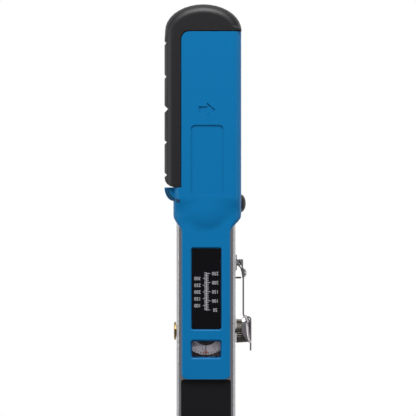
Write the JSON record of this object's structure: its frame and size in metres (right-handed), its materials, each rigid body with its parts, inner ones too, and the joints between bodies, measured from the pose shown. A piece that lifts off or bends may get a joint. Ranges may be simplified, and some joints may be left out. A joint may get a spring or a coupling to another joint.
{
  "type": "split beam torque wrench",
  "caption": "Click torque wrench with a flex ratchet head, a steel channel housing, a blue moulded handle, a side setting knob with lock lever and a torque dial.",
  "frame": {"origin": "centre of the square drive's end face", "axes": "+Y along the wrench towards the handle end, +Z out of the reading face, so that the drive points along -Z; +X to the right as the face is seen with the handle end up"},
  "size_m": [0.0558, 0.611, 0.045],
  "materials": {
    "polished_steel": "polished",
    "tool_steel": "machined",
    "blacked_steel": "blackened, straight knurl",
    "satin_chrome": "satin",
    "brass": "machined",
    "blue_moulding": "moulded, satin gloss",
    "black_rubber": "fine grain",
    "black_plate": "printed",
    "dial_grey": "printed",
    "clear_lens": "clear"
  },
  "bodies": {
    "housing": {"channel_housing": "polished_steel", "pivot_pin": "polished_steel", "face_inlay": "black_plate", "handle_front_shell": "blue_moulding", "handle_back_shell": "blue_moulding", "handle_screw_1": "tool_steel", "handle_screw_2": "tool_steel", "grip_rubber": "black_rubber", "end_cap": "black_rubber", "thumb_bumper": "black_rubber", "label_plate": "black_plate", "dial_lens": "clear_lens", "dial_post": "polished_steel", "dial_clip": "tool_steel", "shaft_bush_left": "brass", "shaft_bush_right": "brass", "latch_bracket": "polished_steel", "latch_pin": "tool_steel", "screw_bearing_front": "brass", "screw_bearing_rear": "brass"},
    "beam": {"beam_yoke": "satin_chrome", "main_beam": "tool_steel", "measuring_beam": "tool_steel", "beam_rivet_1": "tool_steel", "beam_rivet_2": "tool_steel", "flex_pin": "polished_steel", "trip_block": "tool_steel", "trip_pin": "polished_steel"},
    "trip": {"trip_cam": "tool_steel"},
    "carriage": {"carriage_block": "tool_steel", "carriage_roller_1": "polished_steel", "carriage_roller_2": "polished_steel", "carriage_roller_3": "polished_steel", "carriage_roller_4": "polished_steel"},
    "nut": {"lead_nut": "brass"},
    "screw": {"lead_screw": "polished_steel", "screw_bevel_gear": "brass"},
    "setting_shaft": {"cross_shaft": "polished_steel", "shaft_bevel_gear": "brass", "dial_pinion": "brass", "knob": "blacked_steel"},
    "dial": {"dial_disc": "dial_grey", "dial_crown_gear": "brass"},
    "latch": {"lock_lever": "polished_steel", "lever_rivet": "polished_steel"},
    "head": {"ratchet_head": "satin_chrome", "head_cover": "satin_chrome", "pawl_pin": "tool_steel", "cover_screw_1": "tool_steel", "cover_screw_2": "tool_steel", "cover_screw_3": "tool_steel"},
    "drive": {"drive_gear": "satin_chrome", "drive_washer": "tool_steel"},
    "ball": {"detent_ball": "polished_steel"},
    "pawl": {"pawl": "tool_steel"},
    "reverser": {"reverse_lever": "satin_chrome"}
  },
  "joints": [
    {"name": "click_pivot", "type": "hinge", "parent": "housing", "child": "beam", "pos_m": [0, 0.08, 0.028], "axis": [0, 0, 1], "range_deg": [0, 1.5], "stiffness_Nm_per_rad": 100},
    {"name": "trip_swing", "type": "hinge", "parent": "beam", "child": "trip", "pos_m": [-0.0008, 0.339, 0.028], "axis": [0, 0, 1], "range_deg": [-0.1, 18.1]},
    {"name": "carriage_slide", "type": "slide", "parent": "beam", "child": "carriage", "axis": [0, 1, 0], "range_m": [-0.03361, 0.00561]},
    {"name": "nut_slide", "type": "slide", "parent": "housing", "child": "nut", "axis": [0, 1, 0], "range_m": [-0.03361, 0.00561]},
    {"name": "screw_turn", "type": "hinge", "parent": "housing", "child": "screw", "pos_m": [0.0115, 0.195, 0.028], "axis": [0, 1, 0], "range_deg": [-253, 1513]},
    {"name": "knob_turn", "type": "hinge", "parent": "housing", "child": "setting_shaft", "pos_m": [0, 0.3803, 0.028], "axis": [1, 0, 0], "range_deg": [-126, 756]},
    {"name": "dial_turn", "type": "hinge", "parent": "housing", "child": "dial", "pos_m": [0, 0.3803, 0.028], "axis": [0, 0, 1], "range_deg": [-43, 253]},
    {"name": "lock_lever_swing", "type": "hinge", "parent": "housing", "child": "latch", "pos_m": [0.0219, 0.4245, 0.028], "axis": [0, 0, 1], "range_deg": [0, 20], "stiffness_Nm_per_rad": 0.5},
    {"name": "flex_joint", "type": "hinge", "parent": "beam", "child": "head", "pos_m": [0, 0.046, 0.028], "axis": [1, 0, 0], "range_deg": [-15, 15]},
    {"name": "drive_spin", "type": "hinge", "parent": "head", "child": "drive", "pos_m": [0, 0, 0], "axis": [0, 0, 1], "continuous": true},
    {"name": "detent_press", "type": "slide", "parent": "drive", "child": "ball", "axis": [-1, 0, 0], "range_m": [0, 0.0008], "stiffness_N_per_m": 200},
    {"name": "pawl_rock", "type": "hinge", "parent": "head", "child": "pawl", "pos_m": [0, 0.0148, 0.041], "axis": [0, 0, 1], "range_deg": [-8.1, 8.1]},
    {"name": "reverse_swing", "type": "hinge", "parent": "head", "child": "reverser", "pos_m": [0, 0.0148, 0.041], "axis": [0, 0, 1], "range_deg": [-22, 22]}
  ],
  "couplings": [
    {"joint": "trip_swing", "follows": "click_pivot", "ratio": 12},
    {"joint": "screw_turn", "follows": "knob_turn", "ratio": 2},
    {"joint": "nut_slide", "follows": "knob_turn", "m_per_rad": -0.0025465},
    {"joint": "carriage_slide", "follows": "knob_turn", "m_per_rad": -0.0025465},
    {"joint": "dial_turn", "follows": "knob_turn", "ratio": 0.33333},
    {"joint": "pawl_rock", "follows": "reverse_swing", "ratio": -0.36364}
  ]
}
